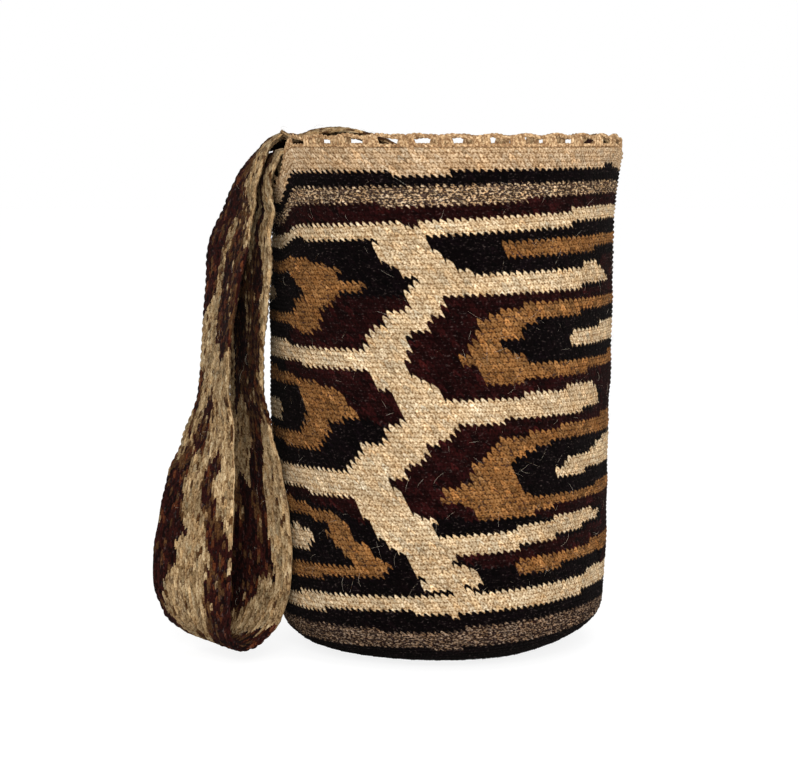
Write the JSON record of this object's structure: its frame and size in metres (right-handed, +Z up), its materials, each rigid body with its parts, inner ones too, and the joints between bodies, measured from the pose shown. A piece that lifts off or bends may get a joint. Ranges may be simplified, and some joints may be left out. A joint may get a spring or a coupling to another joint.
{
  "type": "woven wool shoulder bag",
  "caption": "Round open-topped woven wool shoulder bag standing on its base, with a crocheted eyelet edging and a wide strap hanging over one side.",
  "frame": {"origin": "centre of the flat base, on the surface that the bag stands on", "axes": "+Z up along the bag's axis to the open mouth; the hanging strap lies to -X; the side with the cream trellis of the picture faces -Y"},
  "size_m": [0.2797, 0.2168, 0.3098],
  "materials": {
    "bag_wool": "looped wool in cream, caramel, dark brown and black",
    "edging_yarn": "crocheted tan wool yarn",
    "strap_wool": "woven wool band in beige, brown and maroon stripes",
    "seam_yarn": "twisted tan wool yarn"
  },
  "bodies": {
    "root": {"bag_body": "bag_wool", "rim_edging": "edging_yarn", "strap": "strap_wool", "strap_seam_left": "seam_yarn", "strap_seam_right": "seam_yarn"}
  },
  "joints": []
}
